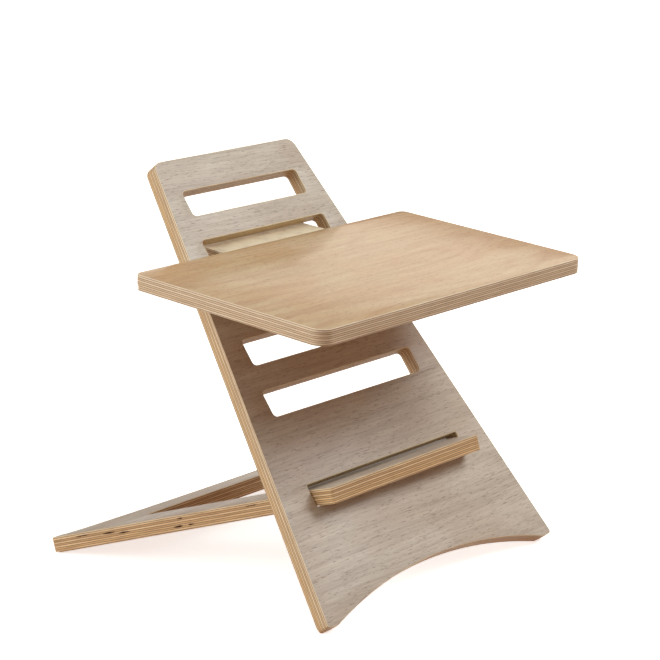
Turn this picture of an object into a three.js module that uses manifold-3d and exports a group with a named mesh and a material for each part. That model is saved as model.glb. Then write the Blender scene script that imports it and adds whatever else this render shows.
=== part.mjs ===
// Laptop stand made of three plywood boards that slot together without fasteners.
//
//   upright  leans back over the rear leg, with a row of slots for the shelf
//   shelf    level top for the laptop; a tongue at its back goes through one slot
//   leg      slopes down to the rear; a tenon at its front goes through the lowest slot
//
// Each board is a plywood core with a thin oak veneer on both faces. Millimetres.
// +X is to the right of someone facing the stand, +Y to its rear, +Z up.
// The origin is at the centre of the bounding box's base, on the floor.

import * as THREE from "three";
import { mergeVertices } from "three/addons/utils/BufferGeometryUtils.js";
import Module from "manifold-3d";

// Boards
const BOARD = 17;
const VENEER = 0.9;
const GLUE_LINE = 0.3;
const SKIN = VENEER + GLUE_LINE;
const CORE = BOARD - 2 * SKIN;
const CORE_PLIES = 7;

// Upright: x across, s up its front face from the bottom edge
const LEAN = THREE.MathUtils.degToRad(41);
const UPRIGHT_LENGTH = 530;
const UPRIGHT_BASE_HALF = 188;
const UPRIGHT_TAPER = 0.149;
const UPRIGHT_TOP_RADIUS = 12;
const FOOT_RADIUS = 4;
const FOOT_INSIDE = 172;
const ARCH_RISE = 27.5;

// Slots through the upright
const SHELF_SLOT_COUNT = 5;
const SHELF_SLOT_HEIGHT = 30.5;
const SHELF_SLOT_RADIUS = 5;
const SHELF_SLOT_FIRST = 223.5;
const SHELF_SLOT_PITCH = 59.3;
const SHELF_SLOT_FIRST_HALF = 119.4;
const SHELF_SLOT_NARROWING = 7.4;
const SHELF_SLOT_IN_USE = 3;
const LEG_SLOT_BOTTOM = 119.8;
const LEG_SLOT_HEIGHT = 25;
const LEG_SLOT_HALF = 123.5;
const LEG_SLOT_RADIUS = 2;

// Shelf
const SHELF_WIDTH = 428;
const SHELF_FRONT_RADIUS = 16;
const SHELF_BACK_RADIUS = 8;
const SHELF_FRONT_AHEAD = 4.3;
const SHELF_GAP = 0.4;
const TONGUE_HALF = 82;
const TONGUE_THICK = (CORE * 5) / CORE_PLIES;
const TONGUE_LENGTH = 47;
const TONGUE_RADIUS = 4;
const TONGUE_CLEARANCE = 0.35;
const REBATE_WIDTH = 6;

// Leg: x across, u down its top face from the front end
const LEG_SLOPE = THREE.MathUtils.degToRad(21);
const TENON_HALF = 122.2;
const TENON_LENGTH = 47.6;
const TENON_RADIUS = 3;
const TENON_GAP = 0.35;
const SHOULDER_GAP = 0.35;
const SHOULDER_HALF = 141.5;
const LEG_REAR_HALF = 246.2;
const LEG_CORNER_RADIUS = 3;
const LEG_SIDE_RAIL = 56;
const WINDOW_FRONT = 98;
const WINDOW_BACK = 243;
const WINDOW_RADIUS = 3;
const REAR_ARCH_HALF = 230;
const REAR_ARCH_RISE = 18;

// The veneers stop short of the edges that stand on the floor, where the arris is eased
const EASED_EDGE = 2;

// Segments per curve are twice the setting; the long arches are drawn as several curves
const CURVE_SEGMENTS = 5;
const ARCH_PARTS = 4;

const oakVeneer = new THREE.MeshStandardMaterial({ color: 0xb9a692, roughness: 0.45, metalness: 0 });
const plywood = new THREE.MeshStandardMaterial({ color: 0xd8b98a, roughness: 0.65, metalness: 0 });

// ---------------------------------------------------------------- outlines

// Draws the outline through the corners [x, y, radius], with a tangent arc at each corner that
// has a radius. The outline ends with `lastStretch`, if there is one, instead of a straight line.
function traceCorners(path, corners, lastStretch) {
  corners.forEach(([x, y, radius = 0], index) => {
    const corner = new THREE.Vector2(x, y);
    if (radius === 0) {
      drawTo(path, index, corner);
      return;
    }
    const before = cornerPoint(corners, index - 1).sub(corner).normalize();
    const after = cornerPoint(corners, index + 1).sub(corner).normalize();
    const halfAngle = Math.acos(before.dot(after)) / 2;
    const tangent = radius / Math.tan(halfAngle);
    const start = corner.clone().addScaledVector(before, tangent);
    const end = corner.clone().addScaledVector(after, tangent);
    const toCentre = before.clone().add(after).normalize();
    const centre = corner.clone().addScaledVector(toCentre, radius / Math.sin(halfAngle));
    const clockwise = before.cross(after) > 0;
    drawTo(path, index, start);
    path.absarc(
      centre.x,
      centre.y,
      radius,
      Math.atan2(start.y - centre.y, start.x - centre.x),
      Math.atan2(end.y - centre.y, end.x - centre.x),
      clockwise
    );
  });
  if (lastStretch) {
    lastStretch(path);
  }
  path.closePath();
  return path;
}

function cornerPoint(corners, index) {
  const [x, y] = corners[(index + corners.length) % corners.length];
  return new THREE.Vector2(x, y);
}

function drawTo(path, index, point) {
  if (index === 0) {
    path.moveTo(point.x, point.y);
  } else {
    path.lineTo(point.x, point.y);
  }
}

// Corners that are listed for the right half are repeated, in reverse, for the left half
function mirrored(rightCorners) {
  const leftCorners = rightCorners.map(([x, y, radius]) => [-x, y, radius]).reverse();
  return [...rightCorners, ...leftCorners];
}

function drawArch(path, centreY, radiusX, radiusY, startAngle, endAngle) {
  for (let part = 0; part < ARCH_PARTS; part += 1) {
    const from = THREE.MathUtils.lerp(startAngle, endAngle, part / ARCH_PARTS);
    const to = THREE.MathUtils.lerp(startAngle, endAngle, (part + 1) / ARCH_PARTS);
    path.absellipse(0, centreY, radiusX, radiusY, from, to, from > to);
  }
}

const uprightHalf = (s) => UPRIGHT_BASE_HALF - UPRIGHT_TAPER * s;

function slotHole(bottom, half, height, radius) {
  const corners = mirrored([
    [half, bottom, radius],
    [half, bottom + height, radius],
  ]);
  return traceCorners(new THREE.Path(), corners);
}

function shelfSlotBottom(index) {
  return SHELF_SLOT_FIRST + index * SHELF_SLOT_PITCH;
}

// The lowest edge is `raised` mm above the full outline's, on a layer that ends short of the floor
function uprightOutline(raised = 0) {
  const archRadius = (FOOT_INSIDE ** 2 + ARCH_RISE ** 2) / (2 * ARCH_RISE);
  const archCentre = ARCH_RISE - archRadius;
  const archHalf = Math.sqrt(archRadius ** 2 - (raised - archCentre) ** 2);
  const archAngle = Math.atan2(raised - archCentre, archHalf);
  const corners = mirrored([
    [archHalf, raised],
    [uprightHalf(raised), raised, FOOT_RADIUS],
    [uprightHalf(UPRIGHT_LENGTH), UPRIGHT_LENGTH, UPRIGHT_TOP_RADIUS],
  ]);
  const shape = traceCorners(new THREE.Shape(), corners, (path) => {
    drawArch(path, archCentre, archRadius, archRadius, Math.PI - archAngle, archAngle);
  });
  for (let index = 0; index < SHELF_SLOT_COUNT; index += 1) {
    const half = SHELF_SLOT_FIRST_HALF - index * SHELF_SLOT_NARROWING;
    shape.holes.push(slotHole(shelfSlotBottom(index), half, SHELF_SLOT_HEIGHT, SHELF_SLOT_RADIUS));
  }
  shape.holes.push(slotHole(LEG_SLOT_BOTTOM, LEG_SLOT_HALF, LEG_SLOT_HEIGHT, LEG_SLOT_RADIUS));
  return shape;
}

function shelfOutline(depth, backRadius) {
  const half = SHELF_WIDTH / 2;
  const corners = mirrored([
    [half, 0, SHELF_FRONT_RADIUS],
    [half, depth, backRadius],
  ]);
  return traceCorners(new THREE.Shape(), corners);
}

function shelfAndTongueOutline(depth) {
  const half = SHELF_WIDTH / 2;
  const corners = mirrored([
    [half, 0, SHELF_FRONT_RADIUS],
    [half, depth, SHELF_BACK_RADIUS],
    [TONGUE_HALF, depth],
    [TONGUE_HALF, depth + TONGUE_LENGTH, TONGUE_RADIUS],
  ]);
  return traceCorners(new THREE.Shape(), corners);
}

function legHalf(u, shoulder, length) {
  const along = (u - shoulder) / (length - shoulder);
  return THREE.MathUtils.lerp(SHOULDER_HALF, LEG_REAR_HALF, along);
}

// The rear edge ends `raised` mm short of the full length, on a layer that ends above the floor
function legOutline(length, raised = 0) {
  const shoulder = TENON_LENGTH + SHOULDER_GAP;
  const end = length - raised;
  const archStart = Math.asin(raised / REAR_ARCH_RISE);
  const corners = mirrored([
    [REAR_ARCH_HALF * Math.cos(archStart), end],
    [legHalf(end, shoulder, length), end, LEG_CORNER_RADIUS],
    [SHOULDER_HALF, shoulder, LEG_CORNER_RADIUS],
    [TENON_HALF, shoulder],
    [TENON_HALF, 0, TENON_RADIUS],
  ]);
  const shape = traceCorners(new THREE.Shape(), corners, (path) => {
    const startAngle = Math.PI + archStart;
    drawArch(path, length, REAR_ARCH_HALF, REAR_ARCH_RISE, startAngle, 2 * Math.PI - archStart);
  });
  const windowHalf = (u) => legHalf(u, shoulder, length) - LEG_SIDE_RAIL;
  const windowCorners = mirrored([
    [windowHalf(WINDOW_FRONT), WINDOW_FRONT, WINDOW_RADIUS],
    [windowHalf(WINDOW_BACK), WINDOW_BACK, WINDOW_RADIUS],
  ]);
  shape.holes.push(traceCorners(new THREE.Path(), windowCorners));
  return shape;
}

// ---------------------------------------------------------------- solids

// A layer of a board: its outline is on the board's face plane and it lies between two depths
function layer(name, shape, depth, thickness, material) {
  const geometry = new THREE.ExtrudeGeometry(shape, {
    depth: thickness,
    bevelEnabled: false,
    curveSegments: CURVE_SEGMENTS,
  });
  geometry.translate(0, 0, -depth - thickness);
  const mesh = new THREE.Mesh(geometry, material);
  mesh.name = name;
  return mesh;
}

function toManifold(wasm, geometry) {
  const bare = geometry.clone();
  bare.deleteAttribute("normal");
  bare.deleteAttribute("uv");
  const merged = mergeVertices(bare, 1e-4);
  const mesh = new wasm.Mesh({
    numProp: 3,
    vertProperties: new Float32Array(merged.attributes.position.array),
    triVerts: new Uint32Array(merged.index.array),
  });
  return new wasm.Manifold(mesh);
}

function fromManifold(solid) {
  const { vertProperties, triVerts } = solid.getMesh();
  const geometry = new THREE.BufferGeometry();
  geometry.setAttribute("position", new THREE.BufferAttribute(vertProperties, 3));
  geometry.setIndex(new THREE.BufferAttribute(triVerts, 1));
  const faceted = geometry.toNonIndexed();
  faceted.computeVertexNormals();
  return faceted;
}

// ---------------------------------------------------------------- boards

// Positions are first worked out with the upright's front bottom edge at y = 0
const uprightBase = new THREE.Vector3(0, 0, (BOARD - SKIN) * Math.sin(LEAN));
const upUpright = new THREE.Vector3(0, Math.sin(LEAN), Math.cos(LEAN));
const intoUpright = new THREE.Vector3(0, Math.cos(LEAN), -Math.sin(LEAN));
const downLeg = new THREE.Vector3(0, Math.cos(LEG_SLOPE), -Math.sin(LEG_SLOPE));
const offLeg = new THREE.Vector3(0, Math.sin(LEG_SLOPE), Math.cos(LEG_SLOPE));

function onUpright(s, depth) {
  return uprightBase.clone().addScaledVector(upUpright, s).addScaledVector(intoUpright, depth);
}

// Half of the bounding box's depth: it runs from the upright's bottom edge to its top edge
const centreY = onUpright(UPRIGHT_LENGTH, BOARD).y / 2;

function makeUpright() {
  const group = new THREE.Group();
  group.position.copy(uprightBase);
  group.position.y -= centreY;
  group.rotation.x = Math.PI / 2 - LEAN;
  group.add(
    layer("upright_front_veneer", uprightOutline(), 0, VENEER, oakVeneer),
    layer("upright_core", uprightOutline(), SKIN, CORE, plywood),
    layer("upright_rear_veneer", uprightOutline(EASED_EDGE), BOARD - VENEER, VENEER, oakVeneer)
  );
  return group;
}

function makeShelf(wasm) {
  const tongueBottom = onUpright(shelfSlotBottom(SHELF_SLOT_IN_USE), 0).z + TONGUE_CLEARANCE;
  const top = tongueBottom + TONGUE_THICK + SKIN;
  const backEdge = (tongueBottom - uprightBase.z) * Math.tan(LEAN) - SHELF_GAP;
  const depth = backEdge - SHELF_FRONT_AHEAD;
  const rebated = depth - REBATE_WIDTH;

  const core = layer("shelf_core", shelfAndTongueOutline(depth), SKIN, CORE, plywood);
  const rebateHeight = CORE - TONGUE_THICK;
  const rebateLength = REBATE_WIDTH + TONGUE_LENGTH + 1;
  const rebate = new THREE.BoxGeometry(SHELF_WIDTH + 2, rebateLength, rebateHeight + 1);
  rebate.translate(0, rebated + rebateLength / 2, -BOARD + SKIN + (rebateHeight - 1) / 2);
  core.geometry = fromManifold(toManifold(wasm, core.geometry).subtract(toManifold(wasm, rebate)));

  const group = new THREE.Group();
  group.position.set(0, SHELF_FRONT_AHEAD - centreY, top);
  group.add(
    layer("shelf_top_veneer", shelfOutline(depth, SHELF_BACK_RADIUS), 0, VENEER, oakVeneer),
    core,
    layer("shelf_bottom_veneer", shelfOutline(rebated, 0), BOARD - VENEER, VENEER, oakVeneer)
  );
  return group;
}

function makeLeg() {
  const slotTopRear = onUpright(LEG_SLOT_BOTTOM + LEG_SLOT_HEIGHT, BOARD);
  const front = slotTopRear.addScaledVector(downLeg, -TENON_LENGTH).addScaledVector(offLeg, -TENON_GAP);
  // The core's lower rear edge stands on the floor
  const length = (front.z - (BOARD - SKIN) * Math.cos(LEG_SLOPE)) / Math.sin(LEG_SLOPE);

  const group = new THREE.Group();
  group.position.copy(front);
  group.position.y -= centreY;
  group.rotation.x = -LEG_SLOPE;
  group.add(
    layer("leg_top_veneer", legOutline(length), 0, VENEER, oakVeneer),
    layer("leg_core", legOutline(length), SKIN, CORE, plywood),
    layer("leg_bottom_veneer", legOutline(length, EASED_EDGE * 2), BOARD - VENEER, VENEER, oakVeneer)
  );
  return group;
}

const wasm = await Module();
wasm.setup();

const group = new THREE.Group();
group.add(makeUpright(), makeShelf(wasm), makeLeg());

export default group;
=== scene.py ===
"""Looks of a slot-together plywood laptop stand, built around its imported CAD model.

Each board is rebuilt from the outline of its CAD nodes as it is laid up: a core of plies with
glue lines and small voids along its edges, and a face veneer with a rounded arris on each side.
Lengths are in metres; the materials work in millimetres on each board's own axes.
"""

import math
from collections import namedtuple

import bpy
from mathutils import Euler, Matrix, Vector, noise
from mathutils.geometry import tessellate_polygon


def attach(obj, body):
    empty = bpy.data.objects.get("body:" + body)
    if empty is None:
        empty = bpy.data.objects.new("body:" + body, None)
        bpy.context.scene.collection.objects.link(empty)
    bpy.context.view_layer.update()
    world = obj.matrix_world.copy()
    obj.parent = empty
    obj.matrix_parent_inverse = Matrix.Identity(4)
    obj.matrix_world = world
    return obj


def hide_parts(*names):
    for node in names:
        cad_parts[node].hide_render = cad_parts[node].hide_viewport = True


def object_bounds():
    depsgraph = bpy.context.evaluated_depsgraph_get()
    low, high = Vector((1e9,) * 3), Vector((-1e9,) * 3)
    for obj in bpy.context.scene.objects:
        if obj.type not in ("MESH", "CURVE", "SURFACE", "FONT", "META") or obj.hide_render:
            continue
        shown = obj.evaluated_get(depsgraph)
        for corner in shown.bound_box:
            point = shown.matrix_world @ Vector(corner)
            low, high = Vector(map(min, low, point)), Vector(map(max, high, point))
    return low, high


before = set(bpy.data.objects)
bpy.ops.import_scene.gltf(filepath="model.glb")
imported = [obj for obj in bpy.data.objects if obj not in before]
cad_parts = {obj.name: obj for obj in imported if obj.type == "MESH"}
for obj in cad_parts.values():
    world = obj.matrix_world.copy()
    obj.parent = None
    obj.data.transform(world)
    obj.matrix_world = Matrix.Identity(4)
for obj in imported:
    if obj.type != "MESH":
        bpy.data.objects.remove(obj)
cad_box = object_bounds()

MM = 0.001
X_AXIS = Vector((1, 0, 0))

# How a board is laid up
CORE_PLIES = 7
GLUE_WIDTH = 0.5 * MM
GLUE_RECESS = 0.05 * MM
GLUE_WANDER = 0.26 * MM
GLUE_WAVE = 38 * MM
EDGE_ROUGHNESS = 0.05 * MM
EDGE_GRAIN = 7 * MM

# The rounded arris of a face veneer
ARRIS_REACH = 0.75 * MM
ARRIS_WEAR = 0.2
ARRIS_GRAIN = 35 * MM
ARRIS_STEPS = 5

# Where a veneer's film of glue starts and ends, as shares of the gap between veneer and core
FILM_START, FILM_END = 0.1, 0.95

# Seeds of the wandering lines and edges; those of a glue line or ply are multiplied by its number
LINE_SEED, PLY_SEED, VOID_SEED, ARRIS_SEED = 3.7, 11.3, 5.3, 29.1

# Spacing of points along an outline, and around a void
COARSE_STEP = 4 * MM
FINE_STEP = 0.7 * MM
LEVEL_TOLERANCE = 0.02 * MM
SAME_WAY = 0.8
PARALLEL = 0.99
TOWARDS = 0.5
SMOOTH_ANGLE = math.radians(35)

# Material slots of a core piece and of a veneer piece
PLY_LIGHT, PLY_DARK, GLUE, VOID = range(4)
FACE, VENEER_EDGE, VENEER_GLUE = range(3)

# A void is a gap between two plies at glue line `line`, where an outline faces `facing`. It lies
# at `place` along the board's side edges, or across its end edges, in metres.
Void = namedtuple("Void", "line facing place length width depth")
VOID_RAGGED = 0.7
VOID_GRAIN = 2.5 * MM
VOID_TAPER = 0.7
VOID_BLUNTNESS = 0.4
FINE_MARGIN = 2
LEFT, RIGHT, FIRST = Vector((-1, 0)), Vector((1, 0)), Vector((0, -1))

# ------------------------------------------------------------------ boards


class Board:
    """A flat board with axes across (X), along, and out of its show face."""

    def __init__(self, name, body, core, show_veneer, back_veneer, facing, voids):
        self.name = name
        self.body = body
        self.core = core
        self.show_veneer = show_veneer
        self.back_veneer = back_veneer
        self.voids = voids
        self.normal = main_normal(show_veneer, facing)
        self.along = self.normal.cross(X_AXIS)
        self.top = max(v.co.dot(self.normal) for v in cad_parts[show_veneer].data.vertices)
        self.start = min(v.co.dot(self.along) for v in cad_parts[core].data.vertices)

    def on_board(self, point):
        """(across, along, depth below the show face) of a point in the frame."""
        return (point.x, point.dot(self.along) - self.start, self.top - point.dot(self.normal))

    def in_frame(self, across, along, depth):
        out = self.normal * (self.top - depth)
        return X_AXIS * across + self.along * (self.start + along) + out


def main_normal(node, facing):
    """The normal with the largest area of all the node's faces on the side that `facing` tells."""
    areas = {}
    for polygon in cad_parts[node].data.polygons:
        if polygon.normal.dot(facing) > TOWARDS:
            key = tuple(round(c, 4) for c in polygon.normal)
            areas[key] = areas.get(key, 0) + polygon.area
    return Vector((0, *max(areas, key=areas.get)[1:])).normalized()


def flat_levels(board, node):
    """The depths at which the node has faces parallel to its board."""
    levels = []
    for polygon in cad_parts[node].data.polygons:
        depth = board.on_board(polygon.center)[2]
        is_flat = abs(polygon.normal.dot(board.normal)) > PARALLEL
        if is_flat and all(abs(depth - known) > LEVEL_TOLERANCE for known in levels):
            levels.append(depth)
    return sorted(levels)


def outline_at(board, node, level):
    """Loops of (across, along) round the node's flat faces at a depth, the outer one first.

    Edges inside the face are met once each way and cancel, so its border is left.
    """
    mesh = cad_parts[node].data
    places = [board.on_board(v.co) for v in mesh.vertices]
    keys = [(round(x / MM, 3), round(y / MM, 3)) for x, y, _ in places]
    borders = set()
    for polygon in mesh.polygons:
        corners = list(polygon.vertices)
        if any(abs(places[c][2] - level) > LEVEL_TOLERANCE for c in corners):
            continue
        if polygon.normal.dot(board.normal) < 0:
            corners.reverse()
        for first, second in zip(corners, corners[1:] + corners[:1]):
            edge = (keys[first], keys[second])
            if edge[::-1] in borders:
                borders.remove(edge[::-1])
            else:
                borders.add(edge)
    follow = dict(borders)
    loops = []
    while follow:
        start, point = follow.popitem()
        loop = [start]
        while point != start:
            loop.append(point)
            point = follow.pop(point)
        loops.append([Vector(p) * MM for p in loop])
    return sorted(loops, key=signed_area, reverse=True)


def signed_area(loop):
    return sum(a.x * b.y - b.x * a.y for a, b in zip(loop, loop[1:] + loop[:1])) / 2


def outward(first, second):
    """The direction out of the material beside the step from first to second."""
    step = (second - first).normalized()
    return Vector((step.y, -step.x))


def near_void(void, point, out, margin=1.0):
    """How far into a void a point on the outline is, from 0 at its ends to 1 at its middle.

    `margin` stretches the void's length.
    """
    if out.dot(void.facing) < SAME_WAY:
        return 0.0
    place = point.x if void.facing == FIRST else point.y
    reach = abs(place - void.place) / (void.length / 2 * margin)
    return max(0.0, 1 - reach * reach)


def subdivided(loop, voids):
    """The loop with a point at least every COARSE_STEP, and every FINE_STEP around a void."""
    points = []
    for first, second in zip(loop, loop[1:] + loop[:1]):
        coarse = max(1, math.ceil((second - first).length / COARSE_STEP))
        out = outward(first, second)
        for index in range(coarse):
            a = first.lerp(second, index / coarse)
            b = first.lerp(second, (index + 1) / coarse)
            is_near = any(near_void(v, (a + b) / 2, out, FINE_MARGIN) > 0 for v in voids)
            fine = max(1, math.ceil((b - a).length / FINE_STEP)) if is_near else 1
            points.extend(a.lerp(b, part / fine) for part in range(fine))
    return points


def mitres(loop):
    """For each point, the vector that moves both its edges outwards by one unit."""
    count = len(loop)
    directions = []
    for index in range(count):
        before = outward(loop[index - 1], loop[index])
        after = outward(loop[index], loop[(index + 1) % count])
        directions.append((before + after) / (1 + before.dot(after)))
    return directions


# ------------------------------------------------------------------ meshes


class Shell:
    """Gathers closed solids into one mesh piece."""

    def __init__(self, board):
        self.board = board
        self.points = []
        self.faces = []
        self.slots = []
        self.smooth = []

    def add_face(self, corners, slot, is_smooth):
        self.faces.append(corners)
        self.slots.append(slot)
        self.smooth.append(is_smooth)

    def add_ring(self, loops, depth, inset):
        """Adds the loops at a depth and an inset, both functions of (point, out)."""
        ring = []
        for loop in loops:
            start = len(self.points)
            for point, mitre in zip(loop, mitres(loop)):
                out = mitre.normalized()
                moved = point - mitre * inset(point, out)
                self.points.append(self.board.in_frame(*moved, depth(point, out)))
            ring.append(range(start, len(self.points)))
        return ring

    def add_band(self, upper, lower, slot):
        """Joins two rings; `slot` is a function of the loop's number and the point's in it."""
        for loop_index, (top, bottom) in enumerate(zip(upper, lower)):
            count = len(top)
            for i in range(count):
                j = (i + 1) % count
                corners = (top[i], bottom[i], bottom[j], top[j])
                self.add_face(corners, slot(loop_index, i), True)

    def add_cap(self, ring, faces_up, slot):
        """Closes a ring with flat triangles that face up or down from the board."""
        order = [index for loop in ring for index in loop]
        flat = [[Vector((*self.on_plane(i), 0)) for i in loop] for loop in ring]
        for triangle in tessellate_polygon(flat):
            corners = [order[i] for i in triangle]
            a, b, c = (self.points[i] for i in corners)
            is_up = (b - a).cross(c - a).dot(self.board.normal) > 0
            if is_up != faces_up:
                corners.reverse()
            self.add_face(corners, slot, False)

    def on_plane(self, index):
        return self.board.on_board(self.points[index])[:2]

    def finish(self, name, materials):
        mesh = bpy.data.meshes.new(name)
        mesh.from_pydata(self.points, [], self.faces)
        for material in materials:
            mesh.materials.append(material)
        mesh.polygons.foreach_set("material_index", self.slots)
        mesh.polygons.foreach_set("use_smooth", self.smooth)
        mesh.set_sharp_from_angle(angle=SMOOTH_ANGLE)
        mesh.validate()
        piece = bpy.data.objects.new(name, mesh)
        bpy.context.scene.collection.objects.link(piece)
        return piece


def wander(point, seed, size):
    """A smooth value of about -1 to 1 that changes over `size` metres along an outline."""
    return noise.noise(Vector((point.x / size, point.y / size, seed)))


def make_core(board, materials):
    """The plies. A core with a rebate has a third level, and a smaller outline below it."""
    shell = Shell(board)
    levels = flat_levels(board, board.core)
    ply = (levels[-1] - levels[0]) / CORE_PLIES
    loops_above = outline_at(board, board.core, levels[0])
    loops_below = outline_at(board, board.core, levels[-1])
    if len(levels) == 2:
        add_plies(shell, loops_above, levels[0], 0, CORE_PLIES, ply)
    else:
        upper = round((levels[1] - levels[0]) / ply)
        add_plies(shell, loops_above, levels[0], 0, upper, ply)
        add_plies(shell, loops_below, levels[0], upper, CORE_PLIES, ply)
    return shell.finish(board.name + "_plies", materials)


def add_plies(shell, outline, core_top, first_ply, end_ply, ply):
    """Adds the plies from first_ply up to end_ply as one solid with a groove at each glue line."""
    voids = [v for v in shell.board.voids if first_ply < v.line < end_ply]
    loops = [subdivided(loop, voids) for loop in outline]

    def openness(line, point, out):
        """Half the width of a glue line's void here, and its depth; both 0 where there is none."""
        for void in voids:
            share = near_void(void, point, out)
            if void.line == line and share > 0:
                ragged = 1 + VOID_RAGGED * wander(point, VOID_SEED * line, VOID_GRAIN)
                half_width = share**VOID_TAPER * ragged * void.width / 2
                return half_width, share**VOID_BLUNTNESS * void.depth
        return 0.0, 0.0

    def depth_at(line, side):
        def depth(point, out):
            middle = core_top + line * ply
            if line in (0, CORE_PLIES):
                return middle + side * GLUE_WIDTH / 2
            waviness = GLUE_WANDER * wander(point, LINE_SEED * line, GLUE_WAVE)
            return middle + waviness + side * (GLUE_WIDTH / 2 + openness(line, point, out)[0])

        return depth

    def ply_inset(index):
        def inset(point, out):
            return EDGE_ROUGHNESS * (1 + wander(point, PLY_SEED * index, EDGE_GRAIN)) / 2

        return inset

    def glue_inset(line):
        return lambda point, out: GLUE_RECESS + openness(line, point, out)[1]

    def ply_slot(index):
        return lambda loop_index, i: PLY_DARK if index % 2 else PLY_LIGHT

    def glue_slot(line):
        def slot(loop_index, i):
            loop = loops[loop_index]
            after = loop[(i + 1) % len(loop)]
            opening = openness(line, (loop[i] + after) / 2, outward(loop[i], after))
            # A void's faces take the painted shade of its hollow
            return VOID if opening[0] > 0 else GLUE

        return slot

    above = shell.add_ring(loops, depth_at(first_ply, 0), glue_inset(first_ply))
    shell.add_cap(above, True, PLY_LIGHT)
    for index in range(first_ply, end_ply):
        top = shell.add_ring(loops, depth_at(index, 1), ply_inset(index))
        bottom = shell.add_ring(loops, depth_at(index + 1, -1), ply_inset(index))
        shell.add_band(above, top, glue_slot(index))
        shell.add_band(top, bottom, ply_slot(index))
        above = shell.add_ring(loops, depth_at(index + 1, 0), glue_inset(index + 1))
        shell.add_band(bottom, above, glue_slot(index + 1))
    shell.add_cap(above, False, PLY_LIGHT)


def make_veneer(board, node, core_side_down, name, materials):
    """A face veneer with a rounded arris, and the film of glue that holds it to the core."""
    shell = Shell(board)
    levels = flat_levels(board, node)
    core_levels = flat_levels(board, board.core)
    face, inner = levels if core_side_down else reversed(levels)
    core_face = core_levels[0] if core_side_down else core_levels[-1]
    loops = [subdivided(loop, []) for loop in outline_at(board, node, face)]

    def level(depth):
        return lambda point, out: depth

    def arris_inset(share):
        def inset(point, out):
            wear = 1 + ARRIS_WEAR * wander(point, ARRIS_SEED, ARRIS_GRAIN)
            return ARRIS_REACH * wear * share

        return inset

    def recess(point, out):
        return GLUE_RECESS

    rings = []
    for step in range(ARRIS_STEPS):
        angle = math.pi / 2 * step / (ARRIS_STEPS - 1)
        depth = face + (inner - face) * (1 - math.cos(angle))
        rings.append(shell.add_ring(loops, level(depth), arris_inset(1 - math.sin(angle))))
    for share in (FILM_START, FILM_END):
        rings.append(shell.add_ring(loops, level(inner + (core_face - inner) * share), recess))
    shell.add_cap(rings[0], core_side_down, FACE)
    shell.add_cap(rings[-1], not core_side_down, VENEER_GLUE)
    for index, (outer_ring, inner_ring) in enumerate(zip(rings, rings[1:])):
        is_glue = index >= ARRIS_STEPS - 1
        slot = VENEER_GLUE if is_glue else VENEER_EDGE
        pair = (outer_ring, inner_ring) if core_side_down else (inner_ring, outer_ring)
        shell.add_band(*pair, lambda loop_index, i, slot=slot: slot)
    return shell.finish(name, materials)


# ------------------------------------------------------------------ material nodes


class Nodes:
    """Short calls for the nodes of one material. Positions are millimetres on a board's axes."""

    def __init__(self, name):
        self.material = bpy.data.materials.new(name)
        self.material.use_nodes = True
        self.tree = self.material.node_tree
        self.shader = self.tree.nodes["Principled BSDF"]

    def add(self, kind, inputs, output=0, **settings):
        node = self.tree.nodes.new(kind)
        for key, value in settings.items():
            setattr(node, key, value)
        for key, value in inputs.items():
            if isinstance(value, bpy.types.NodeSocket):
                self.tree.links.new(value, node.inputs[key])
            elif value is not None:
                node.inputs[key].default_value = value
        return node.outputs[output]

    def math(self, operation, a, b=None, clamp=False):
        inputs = {0: a, 1: b}
        return self.add("ShaderNodeMath", inputs, operation=operation, use_clamp=clamp)

    def mix(self, factor, a, b):
        return self.add("ShaderNodeMix", {0: factor, 6: a, 7: b}, 2, data_type="RGBA")

    def span(self, value, low, high):
        """0 below `low`, 1 above `high`, and smooth between them."""
        inputs = {0: value, 1: low, 2: high, 3: 0.0, 4: 1.0}
        return self.add("ShaderNodeMapRange", inputs, interpolation_type="SMOOTHSTEP")

    def dot(self, vector, other):
        inputs = {0: vector, 1: other}
        return self.add("ShaderNodeVectorMath", inputs, "Value", operation="DOT_PRODUCT")

    def place(self, board):
        """The point's (across, along, depth) on the board."""
        point = self.add("ShaderNodeTexCoord", {}, "Object")
        along = self.math("SUBTRACT", self.dot(point, board.along / MM), board.start / MM)
        out = self.dot(point, board.normal / MM)
        depth = self.math("SUBTRACT", board.top / MM, out)
        across = self.dot(point, X_AXIS / MM)
        return self.add("ShaderNodeCombineXYZ", {0: across, 1: along, 2: depth})

    def noise(self, place, sizes, seed, detail=3.0, roughness=0.55):
        """Noise whose features are `sizes` long in mm across, along and through the board."""
        inputs = {0: place, 1: tuple(1 / size for size in sizes)}
        scaled = self.add("ShaderNodeVectorMath", inputs, operation="MULTIPLY")
        shift = (seed, seed * 1.7, seed * 0.6)
        moved = self.add("ShaderNodeVectorMath", {0: scaled, 1: shift}, operation="ADD")
        inputs = {
            "Vector": moved,
            "Scale": 1.0,
            "Detail": detail,
            "Roughness": roughness,
        }
        return self.add("ShaderNodeTexNoise", inputs)

    def finish(self, colour, roughness, height, height_mm, coat=0.0, coat_roughness=0.5):
        """Sets the shader, with `height` as a bump of `height_mm`, and gives the material."""
        bump = self.add(
            "ShaderNodeBump",
            {"Strength": 1.0, "Distance": height_mm * MM, "Height": height},
        )
        self.tree.links.new(colour, self.shader.inputs["Base Color"])
        self.tree.links.new(roughness, self.shader.inputs["Roughness"])
        self.tree.links.new(bump, self.shader.inputs["Normal"])
        self.shader.inputs["Coat Weight"].default_value = coat
        self.shader.inputs["Coat Roughness"].default_value = coat_roughness
        return self.material


def srgb(red, green, blue):
    """A colour given as 0 to 255 on screen, as the linear colour that a shader takes."""
    shares = (c / 255 for c in (red, green, blue))
    linear = (c / 12.92 if c <= 0.04045 else ((c + 0.055) / 1.055) ** 2.4 for c in shares)
    return (*linear, 1.0)


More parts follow.
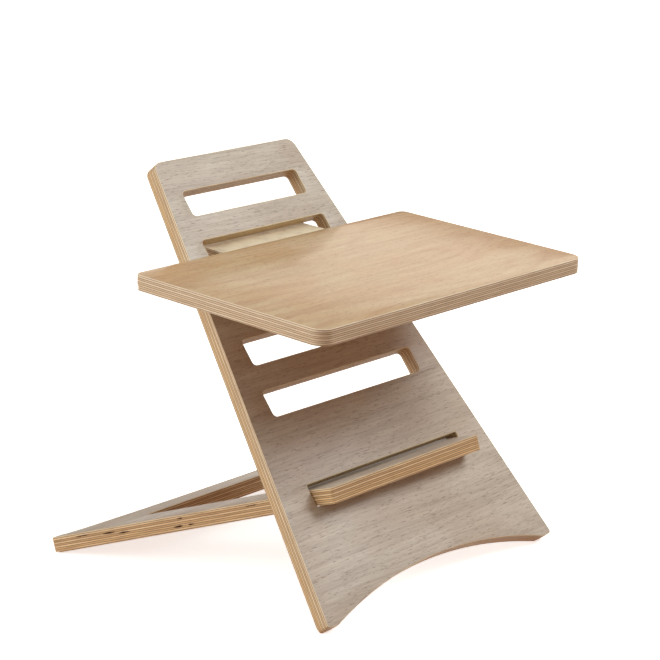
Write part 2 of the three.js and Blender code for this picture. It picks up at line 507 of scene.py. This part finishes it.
# ------------------------------------------------------------------ wood

# A face veneer: its ground colour, its darker late wood, the tint of its broad patches, the
# colour of its pores, how much the figure shows, its coat of lacquer, its roughness and its seed
Veneer = namedtuple("Veneer", "ground late patch pore figure coat roughness seed")

# How far the grain strays from straight, in mm, and how many contour lines make its figure
GRAIN_DRIFT = 14.0
FIGURE_LINES = 26.0

# Its grey tone is painted cool light on the same golden wood as the shelf; its grain, figure and
# pores are the wood's own
COOL_LIT_GREY_VENEER = Veneer(
    ground=srgb(204, 197, 181),
    late=srgb(154, 139, 122),
    patch=srgb(191, 176, 157),
    pore=srgb(104, 80, 64),
    figure=0.14,
    coat=0.12,
    roughness=0.5,
    seed=4.0,
)
GOLD_VENEER = Veneer(
    ground=srgb(205, 181, 139),
    late=srgb(170, 127, 84),
    patch=srgb(198, 160, 112),
    pore=srgb(116, 74, 44),
    figure=0.3,
    coat=0.8,
    roughness=0.4,
    seed=23.0,
)


def veneer_material(name, board, look, seed):
    """Rotary-cut veneer with its grain across the board: streaks, faint figure and pores."""
    n = Nodes(name)
    seed = look.seed + seed
    flat = n.place(board)
    # The grain wanders slowly up and down as it crosses the board
    drift = n.noise(flat, (240, 90, 40), seed, detail=1.0)
    shift = n.math("MULTIPLY", n.math("SUBTRACT", drift, 0.5), GRAIN_DRIFT)
    offset = n.add("ShaderNodeCombineXYZ", {0: 0.0, 1: shift, 2: 0.0})
    place = n.add("ShaderNodeVectorMath", {0: flat, 1: offset}, operation="ADD")

    broad = n.noise(place, (260, 13, 40), seed + 1, detail=3.0)
    streak = n.noise(place, (60, 1.7, 40), seed + 2, detail=4.0, roughness=0.66)
    patch = n.noise(flat, (110, 60, 60), seed + 3, detail=3.0)
    # Contour lines of a stretched field make the arches and ovals of the figure
    field = n.noise(place, (420, 70, 60), seed + 4, detail=1.6, roughness=0.4)
    ring = n.math("PINGPONG", n.math("MULTIPLY", field, FIGURE_LINES), 1.0)
    figure = n.math("MULTIPLY", n.span(ring, 0.35, 1.0), look.figure)
    # Open pores are short dark dashes along the grain, of two sizes
    dash = n.noise(place, (8, 1.0, 8), seed + 5, detail=2.0, roughness=0.5)
    fleck = n.noise(place, (3.2, 0.4, 8), seed + 6, detail=1.0)
    pore = n.math(
        "MAXIMUM",
        n.math("MULTIPLY", n.span(dash, 0.57, 0.7), 0.5),
        n.math("MULTIPLY", n.span(fleck, 0.6, 0.76), 0.36),
    )

    late = n.math("ADD", n.math("MULTIPLY", n.span(streak, 0.36, 0.66), 0.46), figure)
    late = n.math("ADD", late, n.math("MULTIPLY", n.span(broad, 0.38, 0.68), 0.34), clamp=True)
    colour = n.mix(n.math("MULTIPLY", n.span(patch, 0.38, 0.64), 0.6), look.ground, look.patch)
    colour = n.mix(n.math("MULTIPLY", late, 0.72), colour, look.late)
    colour = n.mix(pore, colour, look.pore)

    rough = n.math("ADD", look.roughness, n.math("MULTIPLY", streak, 0.14))
    rough = n.math("ADD", rough, n.math("MULTIPLY", pore, 0.16))
    height = n.math("SUBTRACT", n.math("MULTIPLY", streak, 0.45), pore)
    return n.finish(colour, rough, height, height_mm=0.04, coat=look.coat, coat_roughness=0.16)


# Ply edges: the light and dark plies, the tint towards the board's back, the smudges, how
# strongly the fibre lines show, and the seed
Edge = namedtuple("Edge", "light dark back smudge streak seed")

# The dark plies take another seed, and the back's tint comes in between two depths, in mm
DARK_PLY_SEED = 5.0
BACK_TINT_DEPTHS = (5.0, 11.0)

CREAM_EDGE = Edge(
    light=srgb(232, 219, 190),
    dark=srgb(206, 188, 154),
    back=srgb(212, 192, 156),
    smudge=srgb(138, 104, 70),
    streak=0.36,
    seed=7.0,
)
UPRIGHT_EDGE = Edge(
    light=srgb(232, 219, 184),
    dark=srgb(200, 176, 134),
    back=srgb(222, 187, 130),
    smudge=srgb(142, 98, 60),
    streak=0.36,
    seed=13.0,
)
LEG_EDGE = Edge(
    light=srgb(238, 215, 170),
    dark=srgb(198, 162, 112),
    back=srgb(228, 194, 138),
    smudge=srgb(116, 80, 48),
    streak=0.56,
    seed=31.0,
)


def ply_material(name, board, look, is_dark):
    """The sanded edge of a ply: fibre lines, bands, end-grain speckle, and darker smudges."""
    n = Nodes(name)
    seed = look.seed + (DARK_PLY_SEED if is_dark else 0.0)
    place = n.place(board)
    depth = n.add("ShaderNodeSeparateXYZ", {0: place}, 2)

    fibre = n.noise(place, (30, 30, 0.7), seed, detail=4.0, roughness=0.65)
    speckle = n.noise(place, (0.8, 0.8, 0.6), seed + 1, detail=2.0)
    drift = n.noise(place, (46, 46, 5), seed + 2, detail=3.0)
    smudge = n.noise(place, (11, 11, 1.1), seed + 3, detail=3.0, roughness=0.6)
    band = n.noise(place, (150, 150, 2.3), seed + 4, detail=2.0)

    ground = look.dark if is_dark else look.light
    to_back = n.math("MULTIPLY", n.span(depth, *BACK_TINT_DEPTHS), n.span(drift, 0.25, 0.6))
    colour = n.mix(n.math("MULTIPLY", to_back, 0.6), ground, look.back)
    colour = n.mix(n.math("MULTIPLY", n.span(band, 0.42, 0.66), 0.5), colour, look.dark)
    colour = n.mix(n.math("MULTIPLY", n.span(fibre, 0.42, 0.74), look.streak), colour, look.smudge)
    colour = n.mix(n.math("MULTIPLY", n.span(speckle, 0.5, 0.8), 0.16), colour, look.smudge)
    colour = n.mix(n.math("MULTIPLY", n.span(smudge, 0.62, 0.76), 0.5), colour, look.smudge)

    rough = n.math("ADD", 0.52, n.math("MULTIPLY", fibre, 0.2))
    height = n.math("ADD", n.math("MULTIPLY", fibre, -0.7), n.math("MULTIPLY", speckle, -0.4))
    return n.finish(colour, rough, height, height_mm=0.08, coat=0.08, coat_roughness=0.35)


# What shows between plies: its light and dark colour, and its roughness
Gap = namedtuple("Gap", "light dark roughness")

GLUE_GAP = Gap(light=srgb(130, 94, 58), dark=srgb(92, 62, 38), roughness=0.5)
# The dark brown inside a void is painted shade of its hollow, not the wood's own colour
VOID_PAINTED_SHADE = Gap(light=srgb(108, 74, 46), dark=srgb(74, 48, 30), roughness=0.8)


def gap_material(name, board, look):
    """A glue line, or the painted shade inside a void, broken up along its length."""
    n = Nodes(name)
    place = n.place(board)
    along = n.noise(place, (18, 18, 2), 51.0, detail=3.0)
    grit = n.noise(place, (0.9, 0.9, 0.4), 52.0, detail=2.0)
    colour = n.mix(n.span(along, 0.35, 0.68), look.light, look.dark)
    rough = n.math("ADD", look.roughness, n.math("MULTIPLY", grit, 0.2))
    return n.finish(colour, rough, grit, height_mm=0.05, coat_roughness=0.3)


def core_materials(board, look):
    """In the order of the core's slots."""
    return [
        ply_material(board.name + "_ply_light", board, look, False),
        ply_material(board.name + "_ply_dark", board, look, True),
        gap_material(board.name + "_glue", board, GLUE_GAP),
        gap_material(board.name + "_void", board, VOID_PAINTED_SHADE),
    ]


# ------------------------------------------------------------------ the three boards

BOARDS = [
    Board(
        name="upright",
        body="upright",
        core="upright_core",
        show_veneer="upright_front_veneer",
        back_veneer="upright_rear_veneer",
        facing=Vector((0, -1, 1)),
        voids=[
            Void(2, RIGHT, 0.207, 0.012, 0.0009, 0.0022),
            Void(5, RIGHT, 0.371, 0.008, 0.0007, 0.0016),
        ],
    ),
    Board(
        name="shelf",
        body="shelf",
        core="shelf_core",
        show_veneer="shelf_top_veneer",
        back_veneer="shelf_bottom_veneer",
        facing=Vector((0, 0, 1)),
        voids=[
            Void(5, FIRST, -0.122, 0.009, 0.0020, 0.0026),
            Void(3, RIGHT, 0.121, 0.011, 0.0009, 0.0020),
        ],
    ),
    Board(
        name="leg",
        body="leg",
        core="leg_core",
        show_veneer="leg_top_veneer",
        back_veneer="leg_bottom_veneer",
        facing=Vector((0, 1, 1)),
        voids=[
            Void(1, LEFT, 0.272, 0.016, 0.0006, 0.0012),
            Void(2, LEFT, 0.242, 0.014, 0.0011, 0.0020),
            Void(3, LEFT, 0.226, 0.012, 0.0010, 0.0020),
            Void(1, LEFT, 0.163, 0.006, 0.0013, 0.0016),
            Void(5, LEFT, 0.166, 0.010, 0.0013, 0.0022),
            Void(5, LEFT, 0.152, 0.006, 0.0012, 0.0020),
            Void(1, LEFT, 0.085, 0.012, 0.0008, 0.0012),
            Void(4, RIGHT, 0.188, 0.014, 0.0010, 0.0024),
        ],
    ),
]

EDGE_LOOKS = {"upright": UPRIGHT_EDGE, "shelf": CREAM_EDGE, "leg": LEG_EDGE}
VENEER_LOOKS = {"upright": COOL_LIT_GREY_VENEER, "shelf": GOLD_VENEER, "leg": COOL_LIT_GREY_VENEER}
SHOW_SEED, BACK_SEED = 0.0, 9.0


def make_board(board):
    """Makes a board's core and its two veneers, and puts them in place of its CAD nodes."""
    core_slots = core_materials(board, EDGE_LOOKS[board.name])
    core = make_core(board, core_slots)
    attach(core, board.body)
    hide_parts(board.core)
    sides = [(board.show_veneer, True, SHOW_SEED), (board.back_veneer, False, BACK_SEED)]
    for node, core_side_down, seed in sides:
        look = VENEER_LOOKS[board.name]
        face = veneer_material(node + "_face", board, look, seed)
        slots = [face, core_slots[PLY_LIGHT], core_slots[GLUE]]
        veneer = make_veneer(board, node, core_side_down, node + "_sheet", slots)
        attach(veneer, board.body)
        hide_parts(node)


for board in BOARDS:
    make_board(board)

# ------------------------------------------------------------------ floor, light and camera

FLOOR_SIZE = 40.0
FLOOR_GLOW = 0.72
BACKDROP = (0.93, 0.93, 0.92, 1.0)
SKY = (0.39, 0.38, 0.37, 1.0)
SKY_BLEND = (0.3, 0.6)
ROOM_WARM = (0.26, 0.092, 0.018, 1.0)
ROOM_RADIUS = 8.0
ROOM_HEIGHT = 6.0
ROOM_WARM_HEIGHT = 1.1
ROOM_DROP = 0.02
ROOM_SIDES = 48
CAMERA_PLACE = Vector((-1.7044, -1.4735, 0.9355))
CAMERA_AZIMUTH = math.radians(-49.114)
CAMERA_ELEVATION = math.radians(16.944)
CAMERA_ROLL = math.radians(2.805)
CAMERA_LENS = 119.03
CAMERA_SHIFT = (0.0018, -0.0096)

# A lamp's place, its two sizes, its power in watts and its colour
Lamp = namedtuple("Lamp", "place size power colour")

LAMPS = {
    "left_window": Lamp((-2.6, 0.95, 1.1), (1.5, 1.5), 54, (0.98, 0.99, 1.0)),
    "right_window": Lamp((1.5, -1.22, 2.2), (1.3, 1.3), 52, (0.98, 0.99, 1.0)),
    # A pale wall behind the stand, which the lacquer on the shelf mirrors
    "back_wall": Lamp((2.2, 1.9, 1.1), (2.2, 1.0), 6, (1.0, 0.98, 0.9)),
}


def make_camera():
    camera = bpy.data.objects.new("camera", bpy.data.cameras.new("camera"))
    bpy.context.scene.collection.objects.link(camera)
    camera.data.lens = CAMERA_LENS
    camera.data.shift_x, camera.data.shift_y = CAMERA_SHIFT
    upright = Euler((math.pi / 2 - CAMERA_ELEVATION, 0, CAMERA_AZIMUTH)).to_matrix().to_4x4()
    roll = Matrix.Rotation(CAMERA_ROLL, 4, "Z")
    camera.matrix_world = Matrix.Translation(CAMERA_PLACE) @ upright @ roll
    bpy.context.scene.camera = camera


def floor_material():
    """Smooth matt paint with a faint mottle."""
    n = Nodes("floor_paint")
    point = n.add("ShaderNodeTexCoord", {}, "Object")
    mottle = n.add("ShaderNodeTexNoise", {"Vector": point, "Scale": 3.0, "Detail": 3.0})
    colour = n.mix(mottle, srgb(244, 243, 241), srgb(250, 249, 247))
    grit = n.add("ShaderNodeTexNoise", {"Vector": point, "Scale": 900.0, "Detail": 2.0})
    rough = n.math("ADD", 0.7, n.math("MULTIPLY", mottle, 0.1))
    n.shader.inputs["Emission Color"].default_value = srgb(250, 249, 247)
    n.shader.inputs["Emission Strength"].default_value = FLOOR_GLOW
    return n.finish(colour, rough, grit, height_mm=0.02)


def make_floor():
    half = FLOOR_SIZE / 2
    mesh = bpy.data.meshes.new("floor")
    corners = [(-half, -half, 0), (half, -half, 0), (half, half, 0), (-half, half, 0)]
    mesh.from_pydata(corners, [], [(0, 1, 2, 3)])
    mesh.materials.append(floor_material())
    floor = bpy.data.objects.new("floor", mesh)
    # The floor shows and takes shadows but throws little light back up, like a dark desk
    floor.visible_diffuse = False
    bpy.context.scene.collection.objects.link(floor)


def room_material():
    """Warm low down, like dark furniture, and as pale as the sky at the top."""
    n = Nodes("room_glow")
    point = n.add("ShaderNodeTexCoord", {}, "Object")
    height = n.add("ShaderNodeSeparateXYZ", {0: point}, 2)
    mottle = n.add("ShaderNodeTexNoise", {"Vector": point, "Scale": 0.5, "Detail": 2.0})
    glow = n.mix(n.span(height, ROOM_WARM_HEIGHT, ROOM_HEIGHT), ROOM_WARM, SKY)
    n.tree.links.new(glow, n.shader.inputs["Emission Color"])
    n.shader.inputs["Emission Strength"].default_value = 1.0
    colour = n.mix(mottle, srgb(30, 20, 14), srgb(40, 27, 18))
    rough = n.math("ADD", 0.8, n.math("MULTIPLY", mottle, 0.1))
    return n.finish(colour, rough, mottle, height_mm=0.1)


def make_room():
    """A round room about the stand that the camera doesn't see, for warm light from low down."""
    angles = [2 * math.pi * side / ROOM_SIDES for side in range(ROOM_SIDES)]
    ring = [(ROOM_RADIUS * math.cos(a), ROOM_RADIUS * math.sin(a)) for a in angles]
    points = [(x, y, -ROOM_DROP) for x, y in ring] + [(x, y, ROOM_HEIGHT) for x, y in ring]
    faces = [tuple(range(ROOM_SIDES))]
    for side in range(ROOM_SIDES):
        after = (side + 1) % ROOM_SIDES
        faces.append((side, side + ROOM_SIDES, after + ROOM_SIDES, after))
    mesh = bpy.data.meshes.new("room")
    mesh.from_pydata(points, [], faces)
    mesh.materials.append(room_material())
    room = bpy.data.objects.new("room", mesh)
    room.visible_camera = False
    room.visible_shadow = False
    bpy.context.scene.collection.objects.link(room)


def make_lamp(name, lamp, target):
    light = bpy.data.lights.new(name, "AREA")
    light.shape = "RECTANGLE"
    light.size, light.size_y = lamp.size
    light.energy = lamp.power
    light.color = lamp.colour
    holder = bpy.data.objects.new(name, light)
    bpy.context.scene.collection.objects.link(holder)
    holder.location = lamp.place
    holder.rotation_euler = (Vector(lamp.place) - target).to_track_quat("Z", "Y").to_euler()


def make_lights():
    lowest, highest = cad_box
    for name, lamp in LAMPS.items():
        make_lamp(name, lamp, (lowest + highest) / 2)


def make_world():
    world = bpy.data.worlds.new("studio")
    world.use_nodes = True
    tree = world.node_tree
    background = tree.nodes["Background"]
    direction = tree.nodes.new("ShaderNodeTexCoord")
    height = tree.nodes.new("ShaderNodeSeparateXYZ")
    ramp = tree.nodes.new("ShaderNodeValToRGB")
    ramp.color_ramp.elements[0].position = SKY_BLEND[0]
    ramp.color_ramp.elements[0].color = BACKDROP
    ramp.color_ramp.elements[1].position = SKY_BLEND[1]
    ramp.color_ramp.elements[1].color = SKY
    tree.links.new(direction.outputs["Generated"], height.inputs[0])
    tree.links.new(height.outputs[2], ramp.inputs[0])
    tree.links.new(ramp.outputs[0], background.inputs["Color"])
    background.inputs["Strength"].default_value = 1.0
    bpy.context.scene.world = world


make_camera()
make_floor()
make_room()
make_lights()
make_world()
bpy.context.scene.view_settings.view_transform = "Standard"
